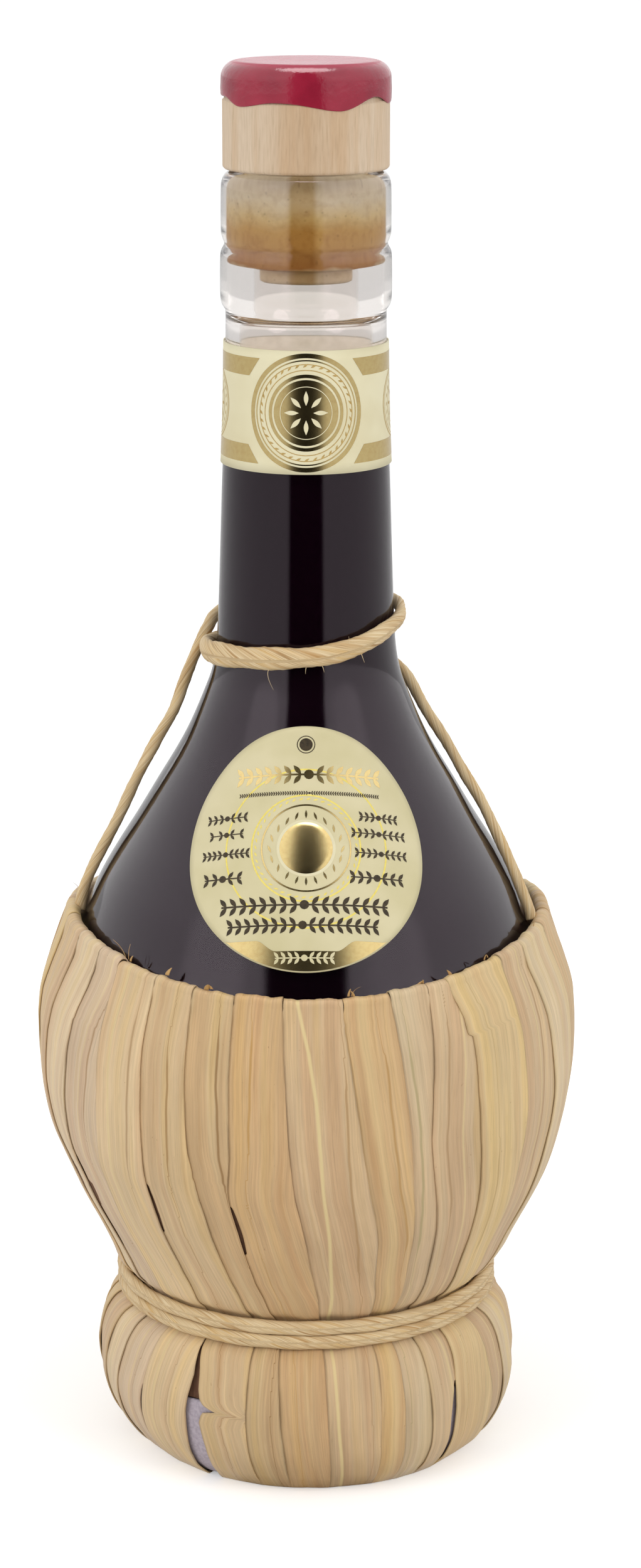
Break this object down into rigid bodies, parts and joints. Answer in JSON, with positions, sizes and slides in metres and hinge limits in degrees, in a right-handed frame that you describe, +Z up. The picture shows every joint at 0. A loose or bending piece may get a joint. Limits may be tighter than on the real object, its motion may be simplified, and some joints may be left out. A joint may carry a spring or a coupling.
{
  "type": "straw covered bottle",
  "caption": "Long-necked glass bottle of dark vinegar in a straw leaf cover tied at the waist, with a raffia handle, labels and a waxed stopper.",
  "frame": {"origin": "on the bottle's axis, in the plane that its foot stands on", "axes": "+Z up along the axis, the round label's side faces -Y, +X to the right when seen from the front"},
  "size_m": [0.0981, 0.098, 0.2534],
  "materials": {
    "glass": "clear and glossy",
    "vinegar": "near-black liquid",
    "cork": "dull natural cork",
    "wood": "plain turned wood",
    "wax": "satin dipped wax",
    "neck_label_paper": "cream paper with gold foil",
    "body_label_paper": "cream paper with gold foil",
    "card": "dull card",
    "cord": "twisted dry raffia",
    "leaf": "dry ribbed leaf with a low sheen"
  },
  "bodies": {
    "bottle": {"glass_bottle": "glass", "vinegar_fill": "vinegar", "neck_label": "neck_label_paper", "body_label": "body_label_paper", "base_band": "card", "rim_hoop": "cord", "waist_cord": "cord", "handle_cord": "cord", "straw_leaf_01": "leaf", "straw_leaf_02": "leaf", "straw_leaf_03": "leaf", "straw_leaf_04": "leaf", "straw_leaf_05": "leaf", "straw_leaf_06": "leaf", "straw_leaf_07": "leaf", "straw_leaf_08": "leaf", "straw_leaf_09": "leaf", "straw_leaf_10": "leaf", "straw_leaf_11": "leaf", "straw_leaf_12": "leaf", "straw_leaf_13": "leaf", "straw_leaf_14": "leaf", "straw_leaf_15": "leaf", "straw_leaf_16": "leaf", "straw_leaf_17": "leaf", "straw_leaf_18": "leaf", "straw_leaf_19": "leaf", "straw_leaf_20": "leaf", "straw_leaf_21": "leaf", "straw_leaf_22": "leaf", "straw_leaf_23": "leaf", "straw_leaf_24": "leaf", "straw_leaf_25": "leaf", "straw_leaf_26": "leaf", "straw_leaf_27": "leaf", "straw_leaf_28": "leaf", "straw_leaf_29": "leaf", "straw_leaf_30": "leaf"},
    "stopper": {"cork_shank": "cork", "stopper_head": "wood", "wax_cap": "wax"}
  },
  "joints": [
    {"name": "stopper_pull", "type": "slide", "parent": "bottle", "child": "stopper", "axis": [0, 0, 1], "range_m": [0, 0.03]}
  ]
}
